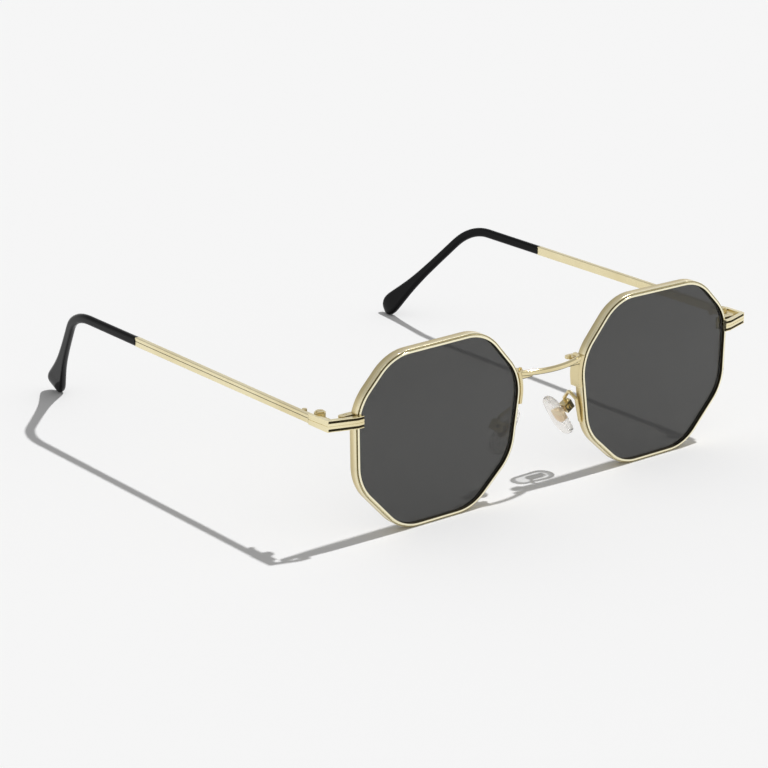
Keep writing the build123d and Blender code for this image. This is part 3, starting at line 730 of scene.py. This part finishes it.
class EYEGLASSES_OT_nose_pads(bpy.types.Operator):
    """Clear silicone nose pads, crowned on both faces"""

    bl_idname = "eyeglasses.nose_pads"
    bl_label = "Nose Pads"

    # Outline of the pad in its own plane: two arcs, their centres one above the other
    TOP_RADIUS = 2.75 * MM
    BOTTOM_RADIUS = 3.25 * MM
    CENTRES = 7.0 * MM
    ARC_STEPS = 12
    STRAIGHT_CUTS = 3
    # Body: its thickness, and the rings of faces that carry the crown
    THICKNESS = 2.4 * MM
    ROUNDING_STEPS = 5
    SIDE_CORNERS = 8  # no face round the side has more corners than this
    INSETS = (0.45 * MM, 0.7 * MM, 0.6 * MM)
    CROWN_REACH = 1.05 * CENTRES  # from the middle to where the crown has fallen away, up or down
    SMOOTHING = 2
    # Middle of the left pad: out, behind the rims' front, and below the middle of the lenses
    OUT, BEHIND, BELOW = 8.9 * MM, 7.45 * MM, 7.4 * MM
    SPLAY = math.radians(33.0)
    # Finish
    GRAIN_DEPTH = 0.004 * MM
    MARKED_ROUGHNESS = 0.3
    CLOUD_SCALE = 260.0
    RING_START, RING_SOFT = 0.62, 0.12  # dark ring of the shadow, as shares of the way out to the edge

    def outline(self, shape):
        """Two arcs of vertices joined into one closed ring, then filled."""
        tilt = math.asin((self.BOTTOM_RADIUS - self.TOP_RADIUS) / self.CENTRES)
        arcs = (
            (self.CENTRES / 2, self.BOTTOM_RADIUS, -math.pi / 2 - tilt, math.pi + 2 * tilt),
            (-self.CENTRES / 2, self.TOP_RADIUS, math.pi / 2 + tilt, math.pi - 2 * tilt),
        )
        for middle, radius, start, sweep in arcs:
            first = shape.verts.new((middle + radius * math.cos(start), radius * math.sin(start), 0))
            bmesh.ops.spin(
                shape, geom=[first], cent=(middle, 0, 0), axis=(0, 0, 1), angle=sweep, steps=self.ARC_STEPS,
                use_merge=False,
            )
        ends = [vert for vert in shape.verts if len(vert.link_edges) == 1]
        straights = [shape.edges.new([vert for vert in ends if vert.co.y * side > 0]) for side in (-1, 1)]
        bmesh.ops.subdivide_edges(shape, edges=straights, cuts=self.STRAIGHT_CUTS)
        bmesh.ops.contextual_create(shape, geom=shape.edges[:])

    def flats(self, shape):
        """The front and back faces, the only ones with many corners."""
        return [face for face in shape.faces if len(face.verts) > self.SIDE_CORNERS]

    def thicken(self, shape):
        """The outline as a slab with rounded edges and rings of faces on its front and back."""
        bmesh.ops.recalc_face_normals(shape, faces=shape.faces[:])
        bmesh.ops.translate(shape, verts=shape.verts[:], vec=(0, 0, -self.THICKNESS / 2))
        grown = bmesh.ops.extrude_face_region(shape, geom=shape.faces[:], use_keep_orig=True)
        risen = [item for item in grown["geom"] if isinstance(item, bmesh.types.BMVert)]
        bmesh.ops.translate(shape, verts=risen, vec=(0, 0, self.THICKNESS))
        rims = list({edge for face in self.flats(shape) for edge in face.edges})
        bmesh.ops.bevel(
            shape, geom=rims, offset=settings().pad.rounding, offset_type="OFFSET", affect="EDGES",
            segments=self.ROUNDING_STEPS, profile=0.5, material=-1, clamp_overlap=True,
        )
        for inset in self.INSETS:
            bmesh.ops.inset_individual(shape, faces=self.flats(shape), thickness=inset, depth=0)
        bmesh.ops.recalc_face_normals(shape, faces=shape.faces[:])

    def edge_share(self, spot):
        """Share of the way from the pad's middle line to its outline at which a spot lies."""
        along = min(max(spot.x / self.CENTRES, -0.5), 0.5)
        radius = self.TOP_RADIUS + (self.BOTTOM_RADIUS - self.TOP_RADIUS) * (along + 0.5)
        return math.hypot(spot.x - along * self.CENTRES, spot.y) / radius

    def crown(self, shape):
        """Flatten the slab towards its edge, and note on each vertex how near the edge it is."""
        drop = settings().pad.crown / max(vert.co.z for vert in shape.verts)
        edge = shape.verts.layers.float.new("edge")
        for vert in shape.verts:
            vert[edge] = self.edge_share(vert.co)
            inner = max(0.0, 1 - (vert.co.x / self.CROWN_REACH) ** 2 - (vert.co.y / self.BOTTOM_RADIUS) ** 2)
            vert.co.z *= 1 - drop * (1 - inner)

    def build(self, name, place):
        shape = bmesh.new()
        self.outline(shape)
        self.thicken(shape)
        self.crown(shape)
        bmesh.ops.transform(shape, matrix=place, verts=shape.verts[:])
        if place.determinant() < 0:
            bmesh.ops.reverse_faces(shape, faces=shape.faces[:])
        mesh = bpy.data.meshes.new(name)
        shape.to_mesh(mesh)
        shape.free()
        for polygon in mesh.polygons:
            polygon.use_smooth = True
        piece = bpy.data.objects.new(name, mesh)
        bpy.context.scene.collection.objects.link(piece)
        smooth = piece.modifiers.new("Smooth Surface", "SUBSURF")
        smooth.levels = smooth.render_levels = self.SMOOTHING
        return piece

    def left_place(self):
        """Where the left pad sits: its own X down along the nose, its Z out of the face that rests on it."""
        middle = Vector((self.OUT, FRONT_Y + self.BEHIND, LENS_Z - self.BELOW))
        down = Vector((math.sin(self.SPLAY), 0, -math.cos(self.SPLAY)))
        facing = Vector((-math.cos(self.SPLAY), 0, -math.sin(self.SPLAY)))
        turn = Matrix((down, facing.cross(down), facing)).transposed()
        return Matrix.Translation(middle) @ turn.to_4x4()

    def silicone(self):
        """Clear silicone that dims the surface under it only a little, except along the pad's edge."""
        pad = settings().pad
        finish = Finish("Clear Silicone")
        finish.constant(Transmission_Weight=pad.clarity, IOR=1.22)
        marks = finish.group("Handling Marks", handling_marks, Scale=220.0, Amount=0.1)
        grain = finish.group("Fine Grain", fine_grain, Scale=3500.0, Roughness=pad.roughness, Variation=0.06)
        clouds = finish.cloud(self.CLOUD_SCALE, WIDE_DRIFT_LEVELS)
        finish.feed("Base Color", finish.mix(clouds, pad.silicone, pad.milky))
        rough = finish.blend(marks.outputs["Mask"], grain.outputs["Roughness"], self.MARKED_ROUGHNESS)
        finish.feed("Roughness", rough)
        finish.bump(grain.outputs["Height"], self.GRAIN_DEPTH)
        path = finish.nodes.new("ShaderNodeLightPath")
        edge = finish.nodes.new("ShaderNodeAttribute")
        edge.attribute_name = "edge"
        ring = finish.above(edge.outputs["Fac"], self.RING_START, self.RING_SOFT)
        shadow = finish.blend(ring, pad.shadow, pad.edge_shadow)
        seen = finish.blend(path.outputs["Is Diffuse Ray"], 1.0, 0.0)
        finish.feed("Alpha", finish.blend(path.outputs["Is Shadow Ray"], seen, shadow))
        return finish.material

    def execute(self, context):
        material = self.silicone()
        place = self.left_place()
        mirrored = Matrix.Scale(-1, 4, (1, 0, 0)) @ place
        for side, matrix in zip(SIDES, (place, mirrored)):
            piece = self.build(f"clear_nose_pad_{side}", matrix)
            piece.data.materials.append(material)
            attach(piece, f"{side}_nose_pad")
            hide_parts(f"nose_pad_{side}")
        return {"FINISHED"}


class EYEGLASSES_OT_stage(bpy.types.Operator):
    """Pale floor, one soft lamp, an even surround and the camera"""

    bl_idname = "eyeglasses.stage"
    bl_label = "Stage"

    LAMP_FROM = Vector((0.45, -0.035, 0.90))  # direction towards the lamp
    DIM_START, DIM_END = 0.08, 0.55  # upward part of a direction, from where to where the space above dims
    SENSOR_WIDTH = 36.0
    IMAGE_WIDTH, FOCAL_LENGTH = 768.0, 2633.0  # in pixels
    NEAREST, FARTHEST = 0.01, 30.0
    AZIMUTH, ELEVATION, ROLL = math.radians(-38.38), math.radians(19.0), math.radians(0.17)
    CAMERA_FROM = Vector((-0.41686, -0.45915, 0.21751))  # from the middle of the rims' front

    def floor(self, scene, stage):
        floor_mesh = bpy.data.meshes.new("floor")
        shape = bmesh.new()
        bmesh.ops.create_grid(shape, x_segments=1, y_segments=1, size=stage.floor_size / 2)
        shape.to_mesh(floor_mesh)
        shape.free()
        floor = bpy.data.objects.new("floor", floor_mesh)
        scene.collection.objects.link(floor)
        finish = Finish("Floor Paint")
        finish.constant(Base_Color=rgba(stage.floor), Roughness=0.9, Specular_IOR_Level=0.0)
        floor.data.materials.append(finish.material)

    def lamp(self, scene, stage):
        lamp_data = bpy.data.lights.new("key", "SUN")
        lamp_data.energy = stage.key
        lamp_data.angle = stage.key_spread
        lamp = bpy.data.objects.new("key", lamp_data)
        lamp.rotation_euler = self.LAMP_FROM.to_track_quat("Z", "Y").to_euler()
        scene.collection.objects.link(lamp)

    def surround(self, scene, stage):
        """Even light from all sides, with a space above that metal shows darker than the rest."""
        world = bpy.data.worlds.new("surround")
        world.use_nodes = True
        nodes, links = world.node_tree.nodes, world.node_tree.links
        background = nodes["Background"]
        background.inputs["Color"].default_value = (1, 1, 1, 1)
        path = nodes.new("ShaderNodeLightPath")
        seen = path.outputs["Is Camera Ray"]
        for kind in ("Is Glossy Ray", "Is Transmission Ray"):
            either = operate(nodes, "ShaderNodeMath", "MAXIMUM")
            links.new(seen, either.inputs[0])
            links.new(path.outputs[kind], either.inputs[1])
            seen = either.outputs["Value"]
        split = nodes.new("ShaderNodeSeparateXYZ")
        links.new(nodes.new("ShaderNodeTexCoord").outputs["Generated"], split.inputs["Vector"])
        reflected = ramp(nodes, self.DIM_START, self.DIM_END)
        reflected.interpolation_type = "SMOOTHSTEP"
        reflected.inputs["To Min"].default_value = 1.0
        reflected.inputs["To Max"].default_value = stage.overhead
        links.new(split.outputs["Z"], reflected.inputs["Value"])
        shown = nodes.new("ShaderNodeMix")
        shown.inputs[2].default_value = 1.0
        links.new(path.outputs["Is Glossy Ray"], shown.inputs["Factor"])
        links.new(reflected.outputs["Result"], shown.inputs[3])
        strength = nodes.new("ShaderNodeMix")
        strength.inputs[2].default_value = stage.surround
        links.new(seen, strength.inputs["Factor"])
        links.new(shown.outputs[0], strength.inputs[3])
        links.new(strength.outputs[0], background.inputs["Strength"])
        scene.world = world

    def camera(self, scene):
        camera_data = bpy.data.cameras.new("camera")
        camera_data.sensor_width = self.SENSOR_WIDTH
        camera_data.lens = self.SENSOR_WIDTH * self.FOCAL_LENGTH / self.IMAGE_WIDTH
        camera_data.clip_start, camera_data.clip_end = self.NEAREST, self.FARTHEST
        camera = bpy.data.objects.new("camera", camera_data)
        turn = Matrix.Rotation(self.AZIMUTH, 4, "Z") @ Matrix.Rotation(math.pi / 2 - self.ELEVATION, 4, "X")
        place = Matrix.Translation(Vector((0, FRONT_Y, LENS_Z)) + self.CAMERA_FROM)
        camera.matrix_world = place @ turn @ Matrix.Rotation(self.ROLL, 4, "Z")
        scene.collection.objects.link(camera)
        scene.camera = camera

    def execute(self, context):
        scene, stage = context.scene, settings().stage
        scene.view_settings.view_transform = "Standard"
        self.floor(scene, stage)
        self.lamp(scene, stage)
        self.surround(scene, stage)
        self.camera(scene)
        return {"FINISHED"}


STEPS = (
    EYEGLASSES_OT_rims,
    EYEGLASSES_OT_bridge,
    EYEGLASSES_OT_endpieces,
    EYEGLASSES_OT_hinges,
    EYEGLASSES_OT_temples,
    EYEGLASSES_OT_tips,
    EYEGLASSES_OT_lenses,
    EYEGLASSES_OT_pad_metal,
    EYEGLASSES_OT_nose_pads,
    EYEGLASSES_OT_stage,
)


class EYEGLASSES_PT_sidebar(bpy.types.Panel):
    """The eyeglasses' pieces in the sidebar"""

    bl_idname = "EYEGLASSES_PT_sidebar"
    bl_label = "Eyeglasses"
    bl_space_type = "VIEW_3D"
    bl_region_type = "UI"
    bl_category = "Eyeglasses"

    def draw(self, context):
        for step in STEPS:
            self.layout.operator(step.bl_idname)
        for name in ("metal", "lens", "tip", "pad", "stage"):
            part = getattr(context.scene.eyeglasses, name)
            box = self.layout.box()
            box.label(text=name.capitalize())
            for key in part.__annotations__:
                box.prop(part, key)


CLASSES = (
    MetalSettings,
    LensSettings,
    TipSettings,
    PadSettings,
    StageSettings,
    EyeglassesSettings,
    *STEPS,
    EYEGLASSES_PT_sidebar,
)


def register():
    for item in CLASSES:
        bpy.utils.register_class(item)
    bpy.types.Scene.eyeglasses = PointerProperty(type=EyeglassesSettings)


def unregister():
    del bpy.types.Scene.eyeglasses
    for item in reversed(CLASSES):
        bpy.utils.unregister_class(item)


def main():
    register()
    bpy.ops.eyeglasses.rims()
    bpy.ops.eyeglasses.bridge()
    bpy.ops.eyeglasses.endpieces()
    bpy.ops.eyeglasses.hinges()
    bpy.ops.eyeglasses.temples()
    bpy.ops.eyeglasses.tips()
    bpy.ops.eyeglasses.lenses()
    bpy.ops.eyeglasses.pad_metal()
    bpy.ops.eyeglasses.nose_pads()
    bpy.ops.eyeglasses.stage()


if __name__ == "__main__":
    main()
